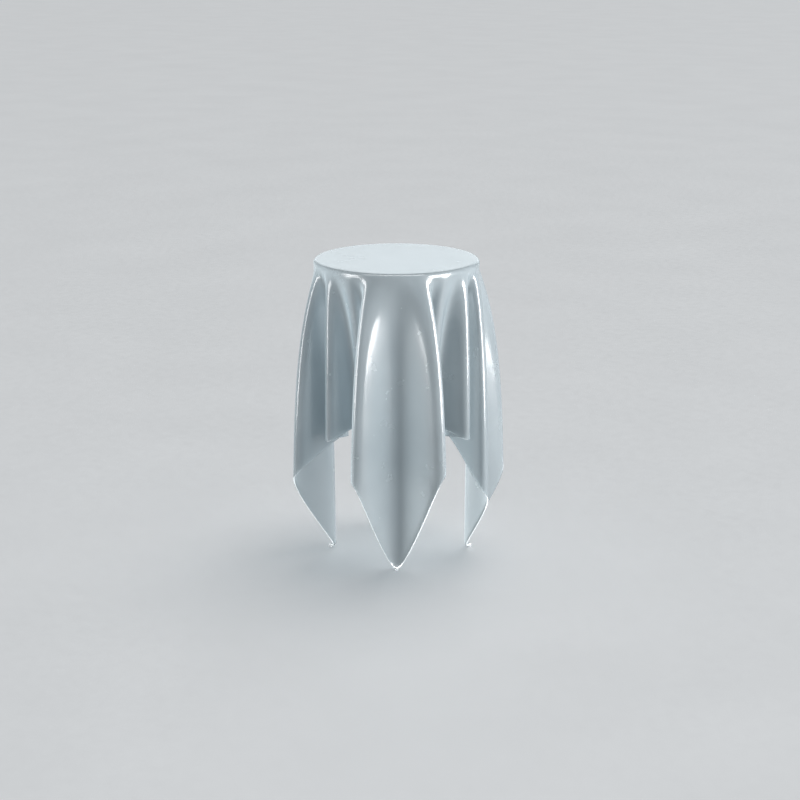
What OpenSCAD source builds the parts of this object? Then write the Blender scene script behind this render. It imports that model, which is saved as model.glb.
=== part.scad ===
// Side table heat-formed from one square acrylic sheet, hanging like a cloth over a round top
// that is not there.  It stands on its four turned-out corners, each on a clear pad.
// Millimetres.  +Z up, the origin on the floor under the middle of the top.
// The sheet's sides run along X and Y, so its corners hang on the diagonals.

/* [Overall] */
// Height of the table top above the floor
height = 560; // [420:5:700]
// Diameter of the top where the skirt leaves it
top_d = 304; // [250:2:400]
// Thickness of the acrylic sheet
sheet_t = 3; // [2:0.5:4]
// Outside radius of the soft rim of the top
rim_r = 7; // [5:0.5:14]

/* [Folds] */
// How far the eight corner ridges stand out past the top
ridge_reach = 30; // [15:1:50]
// How deep the folds beside the corner ridges tuck under the top
fold_tuck = 62; // [40:1:70]
// How deep the middle of each side tucks under the top
side_tuck = 60; // [30:1:66]
// How far each corner's own valley tucks under the top
corner_tuck = 32; // [15:1:45]
// Fall over which the folds open out, as a share of the height
fold_opening = 0.25; // [0.15:0.01:0.4]

/* [Hem] */
// Fall of the hem in the middle of a side, as a share of the height
hem_side = 0.54; // [0.45:0.01:0.58]
// Fall of the hem at a corner ridge, as a share of the height
hem_ridge = 0.715; // [0.66:0.01:0.8]

/* [Feet] */
// Bend radius of the turned-out corner tip, at mid-thickness
lip_bend_r = 5; // [4:0.5:8]
// Flat length of the turned-out corner tip
lip_flat = 7; // [5:0.5:12]
// Diameter of a foot pad
pad_d = 9; // [6:0.5:12]
// Height of a foot pad
pad_h = 3; // [2:0.5:5]

/* [Hidden] */

top_r = top_d / 2;
mid_r = top_r - sheet_t / 2;
flat_r = top_r - rim_r;
plan_k = top_r / 152;
fall_k = height / 560;
opening = fold_opening * height;
full_fall = 0.75 * height;

// Hand-made differences: each ridge is [sideways, outward, fall], beside the even spread
CORNER = [
    // valley shift, ridge before the diagonal, ridge after it, outer fold [sideways, out, fall]
    [-2, [-3, -12, -17],  [4, -10, -32],   [60, 112, 300]],
    [11, [12, -18, 26],   [-20, 20, 9],    [88, 133, 320]],
    [0,  [2, 3, 4],       [-2, -4, 8],     [84, 120, 300]],
    [-2, [2, -8, 2],      [1, 6, -8],      [90, 128, 323]]
];
RIDGE_SIDE = 82;
TUCK_SIDE = 24;
TUCK_FALL = 330 / 560;

// Azimuth where each fold line leaves the top, from the corner's diagonal
AZ_RIDGE = 19;
AZ_TUCK = 28;
AZ_OUTER = 35;
AZ_SIDE = 45;

// Roundness of each turn, and the direction the sheet runs there
TURN_VALLEY = 85 * plan_k;
TURN_RIDGE = 76 * plan_k;
TURN_TUCK = 60 * plan_k;
TURN_OUTER = 62 * plan_k;
TURN_SIDE = 60 * plan_k;
RUN_RIDGE = 40;
RUN_TUCK = 35;
RUN_OUTER = 26;
// How steeply the hem leaves a tip, and passes a ridge
TIP_SLOPE = 1;
RIDGE_SLOPE = 0.32;

// Turned-out tips
lip_z = pad_h + sheet_t / 2;
bend_fall = height - lip_z - lip_bend_r;
bend_len = lip_bend_r * PI / 2;
tip_fall = bend_fall + bend_len + lip_flat;
lip_mid = lip_bend_r + lip_flat / 2;

// Steps along each stretch from a corner's valley to the middle of a side, and down the skirt
STEP_VALLEY = [0, 0.07, 0.15, 0.35, 0.65, 0.88];
STEP_FOLD = [0, 0.15, 0.5, 0.85];
STEP_SIDE = [0, 0.15, 0.45, 0.75];
RIM_STEPS = [30, 60];
FALL_STEPS = [0, 0.04, 0.09, 0.16, 0.25, 0.37, 0.52, 0.7, 0.86, 0.94, 0.97, 0.978, 0.985, 0.992, 1];
SINK = 0.06;  // the skirt starts this far inside the plate's two faces
BITE = 3;     // and this far in from the plate's edge

function corner_az(c) = 90 * c - 45;
function at(az, side, out) =
    [out * cos(az) - side * sin(az), out * sin(az) + side * cos(az)];
function run(az, deg, len) = at(az, len * cos(deg), len * sin(deg));
function valley_r(c) = top_r - corner_tuck + CORNER[c][0] * plan_k;
function side_slope() = RIDGE_SLOPE * (tip_fall - TUCK_FALL * height);

// A ridge of corner c: s = -1 before the diagonal, 1 after it
function ridge(c, s) =
    let (v = CORNER[c][s < 0 ? 1 : 2], az = corner_az(c))
    [az + s * AZ_RIDGE,
     at(az, s * (RIDGE_SIDE + v[0]) * plan_k, top_r + ridge_reach + v[1] * plan_k),
     run(az, -s * RUN_RIDGE, TURN_RIDGE),
     hem_ridge * height + v[2] * fall_k, -s * side_slope(), -s * side_slope()];
function tuck(c, s) =
    let (az = corner_az(c))
    [az + s * AZ_TUCK, at(az, s * TUCK_SIDE * plan_k, top_r - fold_tuck),
     run(az, -s * RUN_TUCK, TURN_TUCK), TUCK_FALL * height, 0, 0];
function outer(c, s) =
    let (az = corner_az(c), v = CORNER[c][3])
    [az + s * AZ_OUTER, at(az, s * v[0] * plan_k, v[1] * plan_k),
     run(az, -s * RUN_OUTER, TURN_OUTER), v[2] * fall_k, 0, 0];
function valley(c) =
    let (az = corner_az(c))
    [az, at(az, 0, valley_r(c)), run(az, 0, TURN_VALLEY), tip_fall,
     TIP_SLOPE * TURN_VALLEY, -TIP_SLOPE * TURN_VALLEY];
function side(c) =
    let (az = corner_az(c) + AZ_SIDE)
    [az, at(az, 0, top_r - side_tuck), run(az, 0, TURN_SIDE), hem_side * height, 0, 0];

function back_to_front(steps) =
    [0, for (i = [len(steps) - 1:-1:1]) 1 - steps[i]];

// Each fold line with the steps of the stretch after it
LINES = [for (c = [0:3]) each [
    [outer(c, -1), back_to_front(STEP_FOLD)],
    [tuck(c, -1), back_to_front(STEP_FOLD)],
    [ridge(c, -1), back_to_front(STEP_VALLEY)],
    [valley(c), STEP_VALLEY],
    [ridge(c, 1), STEP_FOLD],
    [tuck(c, 1), STEP_FOLD],
    [outer(c, 1), STEP_SIDE],
    [side(c), back_to_front(STEP_SIDE)]
]];
LN = len(LINES);

function blend(p, tp, q, tq, s) =
    (2 * s * s * s - 3 * s * s + 1) * p + (s * s * s - 2 * s * s + s) * tp
    + (3 * s * s - 2 * s * s * s) * q + (s * s * s - s * s) * tq;

// Columns around the skirt: [azimuth at the rim, plan point when fully open, hem fall, corner]
COLS = [for (i = [0:LN - 1])
    let (a = LINES[i][0], b = LINES[(i + 1) % LN][0], turn = i == LN - 1 ? 360 : 0)
    for (s = LINES[i][1])
        [a[0] + (b[0] + turn - a[0]) * s, blend(a[1], a[2], b[1], b[2], s),
         blend(a[3], a[5], b[3], b[4], s), floor(i / 8)]];
NC = len(COLS);

function open_share(f) =
    (1 - exp(-max(f - rim_r, 0) / opening)) / (1 - exp(-(full_fall - rim_r) / opening));

// Fall f along a column becomes [outward shift, height], bent out at the tips
function lip(f) =
    f <= bend_fall ? [0, height - f]
    : let (e = f - bend_fall)
      e < bend_len
      ? let (a = e / lip_bend_r * 180 / PI)
        [lip_bend_r * (1 - cos(a)), lip_z + lip_bend_r * (1 - sin(a))]
      : [lip_bend_r + e - bend_len, lip_z];

function skirt_point(col, v) =
    let (f = rim_r + v * (col[2] - rim_r),
         c = mid_r * [cos(col[0]), sin(col[0])],
         p = c + open_share(f) * (col[1] - c),
         l = lip(f), az = corner_az(col[3]),
         q = p + l[0] * [cos(az), sin(az)])
    [q[0], q[1], l[1]];
function rim_point(col, a) =
    let (r = flat_r + (rim_r - sheet_t / 2) * sin(a))
    [r * cos(col[0]), r * sin(col[0]), height - rim_r + (rim_r - sheet_t / 2) * cos(a)];

// Mid-thickness surface, row by row
MID = [
    [for (c = COLS) [(flat_r - BITE) * cos(c[0]), (flat_r - BITE) * sin(c[0]),
                     height - sheet_t / 2]],
    for (a = RIM_STEPS) [for (c = COLS) rim_point(c, a)],
    for (v = FALL_STEPS) [for (c = COLS) skirt_point(c, v)]
];
NR = len(MID);

function unit(v) = v / norm(v);
function face_out(r, c) =
    unit(cross(MID[min(r + 1, NR - 1)][c] - MID[max(r - 1, 0)][c],
               MID[r][(c + 1) % NC] - MID[r][(c + NC - 1) % NC]));
function skin(side) =
    [for (r = [0:NR - 1]) for (c = [0:NC - 1])
        r == 0 ? MID[0][c] + [0, 0, side * (sheet_t / 2 - SINK)]
        : MID[r][c] + side * sheet_t / 2 * face_out(r, c)];

function vert(layer, r, c) = layer * NR * NC + r * NC + (c % NC);

module skirt() {
    walls = [for (r = [0:NR - 2]) for (c = [0:NC - 1]) each [
        [vert(0, r, c), vert(0, r, c + 1), vert(0, r + 1, c)],
        [vert(0, r, c + 1), vert(0, r + 1, c + 1), vert(0, r + 1, c)],
        [vert(1, r, c), vert(1, r + 1, c), vert(1, r, c + 1)],
        [vert(1, r, c + 1), vert(1, r + 1, c), vert(1, r + 1, c + 1)]
    ]];
    edges = [for (c = [0:NC - 1]) each [
        [vert(0, 0, c), vert(1, 0, c), vert(0, 0, c + 1)],
        [vert(0, 0, c + 1), vert(1, 0, c), vert(1, 0, c + 1)],
        [vert(0, NR - 1, c), vert(0, NR - 1, c + 1), vert(1, NR - 1, c)],
        [vert(0, NR - 1, c + 1), vert(1, NR - 1, c + 1), vert(1, NR - 1, c)]
    ]];
    polyhedron(concat(skin(1), skin(-1)), concat(walls, edges));
}

module draped_shell() {
    color([0.80, 0.87, 0.90, 0.7])
    union() {
        skirt();
        translate([0, 0, height - sheet_t]) cylinder(r = flat_r, h = sheet_t, $fn = 180);
    }
}

module foot_pad(c) {
    az = corner_az(c);
    out = valley_r(c) + lip_mid;
    color([0.92, 0.95, 0.96, 0.6])
    translate([out * cos(az), out * sin(az), 0]) cylinder(d = pad_d, h = pad_h, $fn = 48);
}

module foot_pad_front() foot_pad(0);
module foot_pad_right() foot_pad(1);
module foot_pad_back() foot_pad(2);
module foot_pad_left() foot_pad(3);

draped_shell();
foot_pad_front();
foot_pad_right();
foot_pad_back();
foot_pad_left();
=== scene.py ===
"""Side table heat-formed from one frosted acrylic sheet, hanging like a cloth over a round top
that is not there.  One draped shell with polished edges stands on four clear bumper pads.
Metres, in the CAD frame: +Z up, the floor at 0, the front corner towards (+X, -Y)."""

import math

import bpy
import numpy as np
from mathutils import Matrix, Vector


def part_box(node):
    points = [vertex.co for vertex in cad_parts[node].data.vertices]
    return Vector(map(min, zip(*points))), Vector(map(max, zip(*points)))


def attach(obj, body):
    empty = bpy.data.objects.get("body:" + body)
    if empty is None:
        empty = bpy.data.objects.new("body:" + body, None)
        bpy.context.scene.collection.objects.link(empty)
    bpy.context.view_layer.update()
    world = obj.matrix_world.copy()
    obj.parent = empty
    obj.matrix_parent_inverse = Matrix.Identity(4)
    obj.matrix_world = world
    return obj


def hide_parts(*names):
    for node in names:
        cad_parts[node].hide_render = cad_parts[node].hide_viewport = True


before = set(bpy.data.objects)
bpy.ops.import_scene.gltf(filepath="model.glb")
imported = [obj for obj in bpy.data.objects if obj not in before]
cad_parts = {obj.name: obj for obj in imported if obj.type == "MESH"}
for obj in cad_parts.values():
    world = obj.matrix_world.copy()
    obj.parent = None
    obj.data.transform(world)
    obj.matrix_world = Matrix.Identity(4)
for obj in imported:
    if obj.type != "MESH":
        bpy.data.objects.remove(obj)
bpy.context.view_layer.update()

MM = 0.001

# ---------------------------------------------------------------- sizes of the drape, in mm
PAD_NODES = ["foot_pad_front", "foot_pad_right", "foot_pad_back", "foot_pad_left"]
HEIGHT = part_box("draped_shell")[1].z / MM
PAD_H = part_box(PAD_NODES[0])[1].z / MM
SHEET_T = 3.0
TOP_R = 152.0
RIM_R = 7.0
MID_R = TOP_R - SHEET_T / 2
FLAT_R = TOP_R - RIM_R
OPENING = 0.25 * HEIGHT
FULL_FALL = 0.75 * HEIGHT
SOFT_START = 5.0  # the folds leave the rim's own curve over about this fall

# Fold lines when fully open: where each stands, sideways from the corner's diagonal and
# outward (SIDE is the middle of a side), the azimuth where it leaves the rim, counted from
# that diagonal, and the length and direction of its turn
RIDGE_SIDE, RIDGE_OUT = 82.0, TOP_R + 30.0
TUCK_SIDE, TUCK_OUT = 24.0, TOP_R - 62.0
SIDE_OUT = TOP_R - 60.0
VALLEY_OUT = TOP_R - 32.0
AZ_RIDGE, AZ_TUCK, AZ_OUTER, AZ_SIDE = 19, 28, 35, 45
TURN_VALLEY, TURN_RIDGE, TURN_TUCK, TURN_OUTER, TURN_SIDE = 85, 76, 60, 62, 60
RUN_RIDGE, RUN_TUCK, RUN_OUTER = 40, 35, 26

# Hem: how far it falls at each line, and how steeply it leaves a tip and passes a ridge
SIDE_FALL, RIDGE_FALL, TUCK_FALL = 0.54 * HEIGHT, 0.715 * HEIGHT, 330.0
TIP_SLOPE, RIDGE_SLOPE = 1.0, 0.32

# Each corner's own differences: valley shift, the ridge before the diagonal and the ridge
# after it [sideways, outward, fall], and the outer folds [sideways, out, fall]
CORNERS = [
    (-2, (-3, -12, -17), (4, -10, -32), (60, 112, 300)),
    (11, (12, -18, 26), (-20, 20, 9), (88, 133, 320)),
    (0, (2, 3, 4), (-2, -4, 8), (84, 120, 300)),
    (-2, (2, -8, 2), (1, 6, -8), (90, 128, 323)),
]

# Turned-out tips
LIP_BEND, LIP_FLAT = 5.0, 7.0
LIP_Z = PAD_H + SHEET_T / 2
BEND_FALL = HEIGHT - LIP_Z - LIP_BEND
BEND_LEN = LIP_BEND * math.pi / 2
TIP_FALL = BEND_FALL + BEND_LEN + LIP_FLAT

# Mesh density
STEPS = 22          # columns between two fold lines
SKIRT_ROWS = 84     # rows down the open skirt
HEM_ROWS = 22       # finer rows in the last of it
HEM_SHARE = 0.955
RIM_ROWS = 8
TOP_RINGS = 7
EDGE_ROUND = 1.3    # depth of the rounded, polished edge
EDGE_STEPS = 8
PAD_STEPS = 48


# ---------------------------------------------------------------- the draped surface
def corner_az(c):
    return 90 * c - 45


def at(az, side, out):
    a = math.radians(az)
    return np.array([out * math.cos(a) - side * math.sin(a),
                     out * math.sin(a) + side * math.cos(a)])


def run(az, deg, length):
    d = math.radians(deg)
    return at(az, length * math.cos(d), length * math.sin(d))


def fold_lines():
    """Each line: rim azimuth, open plan point, its direction, hem fall, slopes in and out."""
    lines = []
    slope = RIDGE_SLOPE * (TIP_FALL - TUCK_FALL)
    for c, (valley_shift, before, after, outer_at) in enumerate(CORNERS):
        az = corner_az(c)

        def ridge(s, own):
            return (az + s * AZ_RIDGE, at(az, s * (RIDGE_SIDE + own[0]), RIDGE_OUT + own[1]),
                    run(az, -s * RUN_RIDGE, TURN_RIDGE), RIDGE_FALL + own[2],
                    -s * slope, -s * slope)

        def tuck(s):
            return (az + s * AZ_TUCK, at(az, s * TUCK_SIDE, TUCK_OUT),
                    run(az, -s * RUN_TUCK, TURN_TUCK), TUCK_FALL, 0, 0)

        def outer(s):
            return (az + s * AZ_OUTER, at(az, s * outer_at[0], outer_at[1]),
                    run(az, -s * RUN_OUTER, TURN_OUTER), outer_at[2], 0, 0)

        lines += [
            outer(-1), tuck(-1), ridge(-1, before),
            (az, at(az, 0, VALLEY_OUT + valley_shift), run(az, 0, TURN_VALLEY), TIP_FALL,
             TIP_SLOPE * TURN_VALLEY, -TIP_SLOPE * TURN_VALLEY),
            ridge(1, after), tuck(1), outer(1),
            (az + AZ_SIDE, at(az + AZ_SIDE, 0, SIDE_OUT), run(az + AZ_SIDE, 0, TURN_SIDE),
             SIDE_FALL, 0, 0),
        ]
    return lines


def hermite(p, tp, q, tq, s):
    return ((2 * s**3 - 3 * s**2 + 1) * p + (s**3 - 2 * s**2 + s) * tp
            + (3 * s**2 - 2 * s**3) * q + (s**3 - s**2) * tq)


def columns():
    lines = fold_lines()
    s = np.arange(STEPS) / STEPS
    az, plan, fall, corner = [], [], [], []
    for i, a in enumerate(lines):
        b = lines[(i + 1) % len(lines)]
        turn = 360 if i == len(lines) - 1 else 0
        az.append(a[0] + (b[0] + turn - a[0]) * s)
        plan.append(hermite(a[1], a[2], b[1], b[2], s[:, None]))
        fall.append(hermite(a[3], a[5], b[3], b[4], s))
        corner.append(np.full(STEPS, i // 8))
    return [np.concatenate(x) for x in (az, plan, fall, corner)]


def open_share(fall):
    """How far a fold has opened at this fall, from 0 at the rim to 1 near the ridges' hem."""
    x = np.maximum(fall - RIM_R, 0)
    x = x - SOFT_START * (1 - np.exp(-x / SOFT_START))
    return (1 - np.exp(-x / OPENING)) / (1 - math.exp(-(FULL_FALL - RIM_R) / OPENING))


def lip(fall):
    """A fall along the sheet becomes an outward shift and a height, bent out at the tips."""
    e = fall - BEND_FALL
    a = np.clip(e / LIP_BEND, 0, math.pi / 2)
    out = np.where(e <= 0, 0, np.where(e < BEND_LEN, LIP_BEND * (1 - np.cos(a)),
                                       LIP_BEND + e - BEND_LEN))
    z = np.where(e <= 0, HEIGHT - fall, np.where(e < BEND_LEN,
                                                 LIP_Z + LIP_BEND * (1 - np.sin(a)), LIP_Z))
    return out, z


def mid_surface():
    """Mid-thickness points, rows from the top's flat edge to the hem, by columns around."""
    az, plan, fall, corner = columns()
    a = np.radians(az)
    ray = np.stack([np.cos(a), np.sin(a)], -1)
    v = np.concatenate([np.linspace(0, HEM_SHARE, SKIRT_ROWS, endpoint=False),
                        np.linspace(HEM_SHARE, 1, HEM_ROWS)])[:, None]
    f = RIM_R + v * (fall[None] - RIM_R)
    rim = MID_R * ray
    xy = rim[None] + open_share(f)[..., None] * (plan - rim)[None]
    out, z = lip(f)
    ca = np.radians(corner_az(corner))
    xy = xy + out[..., None] * np.stack([np.cos(ca), np.sin(ca)], -1)[None]
    skirt = np.concatenate([xy, z[..., None]], -1)

    t = np.radians(np.linspace(0, 90, RIM_ROWS, endpoint=False))[:, None]
    r = FLAT_R + (RIM_R - SHEET_T / 2) * np.sin(t)
    zr = HEIGHT - RIM_R + (RIM_R - SHEET_T / 2) * np.cos(t)
    bend = np.stack([r * ray[None, :, 0], r * ray[None, :, 1],
                     np.broadcast_to(zr, (RIM_ROWS, len(a)))], -1)
    return np.concatenate([bend, skirt], 0)


def unit(v):
    return v / np.maximum(np.linalg.norm(v, axis=-1, keepdims=True), 1e-9)


def shell_mesh():
    mid = mid_surface()
    rows, cols = mid.shape[:2]
    down = np.gradient(mid, axis=0)
    around = np.roll(mid, -1, 1) - np.roll(mid, 1, 1)
    normal = unit(np.cross(down, around))
    normal[0] = (0, 0, 1)
    # at the hem the edge is rounded: the last ring steps back and a half ellipse closes it
    beyond = unit(np.cross(around[-1], normal[-1]))
    beyond *= np.sign((beyond * down[-1]).sum(-1, keepdims=True))
    core = mid[-1] - EDGE_ROUND * beyond
    outer = mid + normal * SHEET_T / 2
    inner = mid - normal * SHEET_T / 2
    outer[-1] = core + normal[-1] * SHEET_T / 2
    inner[-1] = core - normal[-1] * SHEET_T / 2
    bead = []
    for k in range(1, EDGE_STEPS):
        t = math.pi * k / EDGE_STEPS
        bead.append(core + normal[-1] * SHEET_T / 2 * math.cos(t)
                    + beyond * EDGE_ROUND * math.sin(t))

    ray = unit(mid[0] * (1, 1, 0))
    rings = [ray * FLAT_R * math.sqrt((k + 1) / (TOP_RINGS + 1)) for k in range(TOP_RINGS)]
    lift = np.array([0, 0, HEIGHT - SHEET_T / 2])
    half = np.array([0, 0, SHEET_T / 2])
    grid = ([ring + lift + half for ring in rings] + list(outer) + bead
            + list(inner[::-1]) + [ring + lift - half for ring in rings[::-1]])
    verts = np.concatenate(grid + [[lift + half], [lift - half]]) * MM

    n = len(grid)
    c = np.arange(cols)
    nxt = (c + 1) % cols
    quads = np.concatenate([np.stack([r * cols + c, (r + 1) * cols + c,
                                      (r + 1) * cols + nxt, r * cols + nxt], -1)
                            for r in range(n - 1)])
    top, under = n * cols, n * cols + 1
    last = (n - 1) * cols
    caps = [(top, int(i), int(j)) for i, j in zip(c, nxt)]
    caps += [(under, int(last + j), int(last + i)) for i, j in zip(c, nxt)]
    mesh = bpy.data.meshes.new("draped_sheet")
    mesh.from_pydata(verts.tolist(), [], quads.tolist() + caps)
    first_edge = TOP_RINGS + rows - 1
    edge = np.zeros(len(quads) + len(caps), np.int32)
    # these rounded edge faces take the second material, whose near-white colour is painted
    # edge glow
    edge[first_edge * cols:(first_edge + EDGE_STEPS) * cols] = 1
    mesh.polygons.foreach_set("material_index", edge)
    mesh.polygons.foreach_set("use_smooth", np.ones(len(edge), bool))
    mesh.update()
    return mesh


# ---------------------------------------------------------------- materials
class Nodes:
    """Small helper to wire one material's node tree."""

    def __init__(self, name, **principled):
        self.material = bpy.data.materials.new(name)
        self.material.use_nodes = True
        self.tree = self.material.node_tree
        self.shader = self.tree.nodes["Principled BSDF"]
        for key, value in principled.items():
            self.shader.inputs[key.replace("_", " ")].default_value = value
        self.place = self.add("ShaderNodeTexCoord").outputs["Object"]

    def add(self, kind, **props):
        node = self.tree.nodes.new(kind)
        for key, value in props.items():
            setattr(node, key, value)
        return node

    def link(self, a, b):
        self.tree.links.new(a, b)

    def noise(self, scale, detail=2.0, stretch=None):
        node = self.add("ShaderNodeTexNoise")
        node.inputs["Scale"].default_value = scale
        node.inputs["Detail"].default_value = detail
        place = self.place
        if stretch:
            mapping = self.add("ShaderNodeMapping")
            mapping.inputs["Scale"].default_value = stretch
            self.link(place, mapping.inputs["Vector"])
            place = mapping.outputs["Vector"]
        self.link(place, node.inputs["Vector"])
        return node.outputs["Fac"]

    def remap(self, value, low, high, src=(0.3, 0.7)):
        node = self.add("ShaderNodeMapRange")
        node.inputs["From Min"].default_value, node.inputs["From Max"].default_value = src
        node.inputs["To Min"].default_value, node.inputs["To Max"].default_value = low, high
        self.link(value, node.inputs["Value"])
        return node.outputs["Result"]

    def tint(self, value, low, high):
        ramp = self.add("ShaderNodeValToRGB")
        ramp.color_ramp.elements[0].position, ramp.color_ramp.elements[1].position = 0.3, 0.7
        ramp.color_ramp.elements[0].color = (*low, 1)
        ramp.color_ramp.elements[1].color = (*high, 1)
        self.link(value, ramp.inputs["Fac"])
        return ramp.outputs["Color"]

    def bump(self, layers):
        """layers: (height, strength, distance) from the coarsest to the finest."""
        normal = None
        for height, strength, distance in layers:
            node = self.add("ShaderNodeBump")
            node.inputs["Strength"].default_value = strength
            node.inputs["Distance"].default_value = distance
            self.link(height, node.inputs["Height"])
            if normal is not None:
                self.link(normal, node.inputs["Normal"])
            normal = node.outputs["Normal"]
        self.link(normal, self.shader.inputs["Normal"])

    def into(self, output, socket):
        self.link(output, self.shader.inputs[socket])

    def see_through(self, lamps, glow=None, share=0.0):
        """Mixes in a share of light that soaks through from behind, of colour glow, and lets
        light from lamps on to what is behind, dimmed by the colour lamps at each face."""
        shader = self.shader.outputs["BSDF"]
        if glow:
            soak = self.add("ShaderNodeBsdfTranslucent")
            soak.inputs["Color"].default_value = (*glow, 1)
            shader = self.mixed(share, shader, soak.outputs["BSDF"])
        clear = self.add("ShaderNodeBsdfTransparent")
        clear.inputs["Color"].default_value = (*lamps, 1)
        is_lamp = self.add("ShaderNodeLightPath").outputs["Is Shadow Ray"]
        shader = self.mixed(is_lamp, shader, clear.outputs["BSDF"])
        self.link(shader, self.tree.nodes["Material Output"].inputs["Surface"])

    def mixed(self, share, first, second):
        mix = self.add("ShaderNodeMixShader")
        if isinstance(share, float):
            mix.inputs["Fac"].default_value = share
        else:
            self.link(share, mix.inputs["Fac"])
        self.link(first, mix.inputs[1])
        self.link(second, mix.inputs[2])
        return mix.outputs["Shader"]


def acrylic_material():
    m = Nodes("frosted_acrylic", IOR=1.49, Transmission_Weight=0.4, Coat_Weight=1.0,
              Coat_Roughness=0.12, Coat_IOR=1.49)
    m.into(m.tint(m.noise(7.0, 3.0), (0.22, 0.245, 0.26), (0.27, 0.295, 0.31)), "Base Color")
    m.into(m.remap(m.noise(24.0, 4.0), 0.21, 0.28), "Roughness")
    m.bump([(m.noise(9.0, 1.5, (1, 1, 0.35)), 0.25, 0.004)])
    m.see_through(lamps=(0.83, 0.85, 0.86), glow=(0.55, 0.60, 0.62), share=0.35)
    return m.material


def edge_with_painted_glow_material():
    m = Nodes("polished_edge_painted_glow", IOR=1.49, Transmission_Weight=0.15, Coat_Weight=0.8,
              Coat_Roughness=0.05)
    # the near-white base colour is painted glow: it stands in for light piped along the sheet
    # and leaving at its edge; the low roughness, coat and bump are the real polish
    m.into(m.tint(m.noise(60.0, 2.0), (0.90, 0.95, 0.96), (0.97, 0.99, 1.0)), "Base Color")
    m.into(m.remap(m.noise(180.0, 3.0), 0.10, 0.22), "Roughness")
    m.bump([(m.noise(260.0, 3.0), 0.10, 0.0003)])
    return m.material


def pad_material():
    m = Nodes("clear_pad", IOR=1.47, Transmission_Weight=0.85, Coat_Weight=0.3,
              Coat_Roughness=0.08)
    m.into(m.tint(m.noise(300.0, 2.0), (0.88, 0.92, 0.93), (0.95, 0.97, 0.98)), "Base Color")
    m.into(m.remap(m.noise(500.0, 3.0), 0.12, 0.22), "Roughness")
    m.bump([(m.noise(900.0, 2.0), 0.08, 0.0002)])
    m.see_through(lamps=(0.93, 0.95, 0.96))
    return m.material


def floor_material():
    m = Nodes("pale_floor")
    m.into(m.tint(m.noise(3.0, 3.0), (0.78, 0.79, 0.795), (0.81, 0.82, 0.825)), "Base Color")
    m.into(m.remap(m.noise(40.0, 4.0), 0.45, 0.6), "Roughness")
    m.bump([(m.noise(220.0, 4.0), 0.05, 0.0005)])
    return m.material


# ---------------------------------------------------------------- pieces
def new_object(name, mesh, *materials):
    o = bpy.data.objects.new(name, mesh)
    bpy.context.scene.collection.objects.link(o)
    for m in materials:
        mesh.materials.append(m)
    return o


def turned_mesh(name, profile, steps=PAD_STEPS):
    """Revolves (radius, height) points, given from the middle of the base up to the middle
    of the top, round the vertical axis."""
    angles = 2 * np.pi * np.arange(steps) / steps
    around = np.stack([np.cos(angles), np.sin(angles)], -1)
    inner = profile[1:-1]
    verts = [(0, 0, profile[0][1])]
    for r, z in inner:
        verts += [(r * x, r * y, z) for x, y in around]
    verts.append((0, 0, profile[-1][1]))
    faces = []
    for k in range(steps):
        j = (k + 1) % steps
        faces.append((0, 1 + j, 1 + k))
        for i in range(len(inner) - 1):
            a = 1 + i * steps
            faces.append((a + k, a + j, a + steps + j, a + steps + k))
        a = 1 + (len(inner) - 1) * steps
        faces.append((len(verts) - 1, a + k, a + j))
    mesh = bpy.data.meshes.new(name)
    mesh.from_pydata(verts, [], faces)
    mesh.polygons.foreach_set("use_smooth", np.ones(len(faces), bool))
    mesh.update()
    return mesh


def bumper(node, material):
    """A soft clear bumper: dished under, round shoulders, a waist under its flat top."""
    low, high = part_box(node)
    r, h = (high.x - low.x) / 2, high.z - low.z
    profile = [(0, 0.10), (0.45, 0.10), (0.62, 0.06), (0.74, 0), (0.86, 0), (0.95, 0.05),
               (1, 0.16), (1, 0.38), (0.975, 0.58), (0.945, 0.74), (0.93, 0.86),
               (0.90, 0.95), (0.84, 1), (0.5, 1), (0, 1)]
    mesh = turned_mesh(node + "_bumper", [(r * a, h * b) for a, b in profile])
    mesh.transform(Matrix.Translation(((low.x + high.x) / 2, (low.y + high.y) / 2, low.z)))
    o = new_object(node + "_bumper", mesh, material)
    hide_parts(node)
    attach(o, "root")
    return o


acrylic = acrylic_material()
sheet = new_object("draped_acrylic_sheet", shell_mesh(), acrylic, edge_with_painted_glow_material())
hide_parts("draped_shell")
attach(sheet, "root")
clear = pad_material()
pads = [bumper(node, clear) for node in PAD_NODES]

# ---------------------------------------------------------------- floor, light and camera
FLOOR_R = 24.0
floor_mesh = bpy.data.meshes.new("floor")
ring = [(FLOOR_R * math.cos(a), FLOOR_R * math.sin(a), 0)
        for a in np.linspace(0, 2 * math.pi, 96, endpoint=False)]
floor_mesh.from_pydata(ring, [], [tuple(range(len(ring)))])
floor = new_object("studio_floor", floor_mesh, floor_material())

VIEW_AZ = 45.0  # the camera faces the front corner
CAM_BACK, CAM_HEIGHT = 3.211, 1.187
CAM_PITCH, CAM_YAW = 15.6, 0.113
LENS = 80.28


def studio(right, front, up):
    """A point given as seen by the camera: to its right, towards it, and up."""
    a = math.radians(VIEW_AZ)
    return Vector((right * math.cos(a) + front * math.sin(a),
                   right * math.sin(a) - front * math.cos(a), up))


def aim(o, direction):
    o.rotation_euler = direction.to_track_quat("-Z", "Y").to_euler()


def lit_group(name, pieces):
    """The only pieces that a lamp given this group lights."""
    group = bpy.data.collections.new(name)
    for piece in pieces:
        group.objects.link(piece)
    return group


lit_by_boxes = lit_group("lit_by_softboxes", [sheet, *pads])


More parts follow.
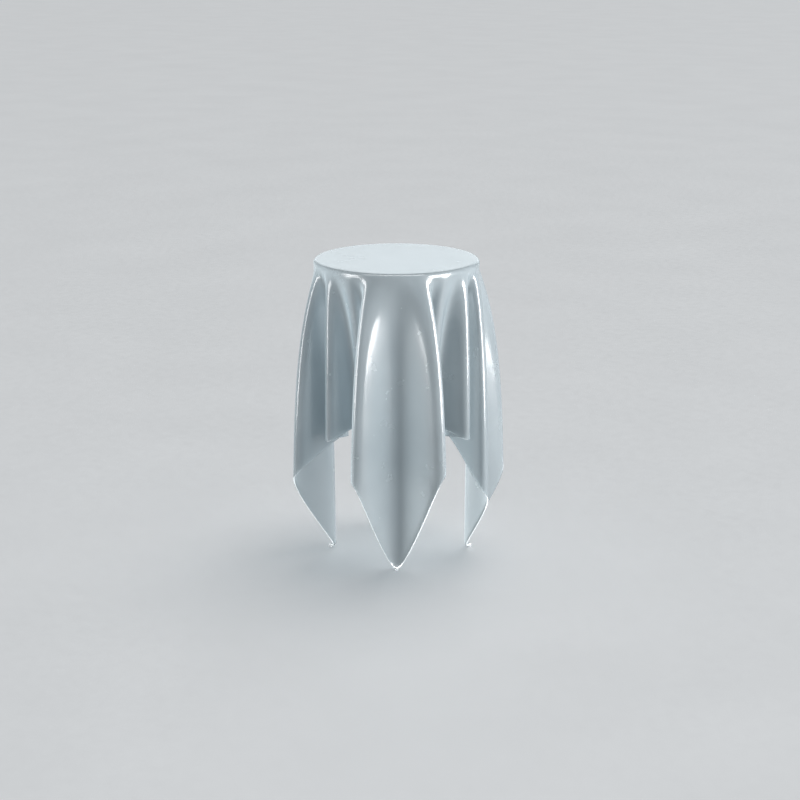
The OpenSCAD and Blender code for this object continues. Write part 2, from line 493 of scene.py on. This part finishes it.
def softbox(name, place, target, size, radiance, colour=(1, 1, 1)):
    """A rectangular light that only the table sees, so the floor stays evenly lit."""
    light = bpy.data.lights.new(name, "AREA")
    light.shape = "RECTANGLE"
    light.size, light.size_y = size
    light.energy = radiance * math.pi * size[0] * size[1]
    light.color = colour
    o = bpy.data.objects.new(name, light)
    bpy.context.scene.collection.objects.link(o)
    o.location = studio(*place)
    o.visible_camera = o.visible_transmission = False
    o.light_linking.receiver_collection = lit_by_boxes
    aim(o, studio(*target) - o.location)
    return o


MIDDLE = (0, 0, 0.3)
softbox("right_box", (1.36, 0.78, 0.60), MIDDLE, (0.85, 1.3), 22)
softbox("left_box", (-1.36, 0.74, 0.60), MIDDLE, (0.60, 1.3), 11)
softbox("top_box", (0, 0.4, 2.0), (0, 0, 0.55), (1.6, 0.3), 14)
softbox("back_box", (0.2, -3.0, 1.35), (0, 0, 0.55), (2.6, 1.5), 1.5, (0.88, 0.96, 1.0))

# the sun lights only the floor, evenly; the table still casts its soft shadow there
sun = bpy.data.lights.new("overhead", "SUN")
sun.energy, sun.angle, sun.color = 2.0, math.radians(50), (0.97, 0.985, 1.0)
overhead = bpy.data.objects.new("overhead", sun)
bpy.context.scene.collection.objects.link(overhead)
aim(overhead, studio(-0.25, 0.30, -1))
overhead.light_linking.receiver_collection = lit_group("lit_by_overhead", [floor])

world = bpy.data.worlds.new("studio")
world.use_nodes = True
world.node_tree.nodes["Background"].inputs["Color"].default_value = (0.84, 0.86, 0.88, 1)
world.node_tree.nodes["Background"].inputs["Strength"].default_value = 0.25
bpy.context.scene.world = world
bpy.context.scene.view_settings.view_transform = "Standard"

# light passes many faces of the sheet; strong stray paths are held down to keep noise low
cycles = bpy.context.scene.cycles
cycles.max_bounces = cycles.transmission_bounces = 24
cycles.transparent_max_bounces = 32
cycles.caustics_refractive = cycles.caustics_reflective = False
cycles.sample_clamp_indirect = 1.5

camera_data = bpy.data.cameras.new("camera")
camera_data.lens = LENS
camera_data.sensor_width = 36.0
camera = bpy.data.objects.new("camera", camera_data)
bpy.context.scene.collection.objects.link(camera)
camera.location = studio(0, CAM_BACK, CAM_HEIGHT)
pitch, yaw = math.radians(CAM_PITCH), math.radians(CAM_YAW)
aim(camera, studio(math.sin(yaw) * math.cos(pitch), -math.cos(yaw) * math.cos(pitch),
                   -math.sin(pitch)))
bpy.context.scene.camera = camera
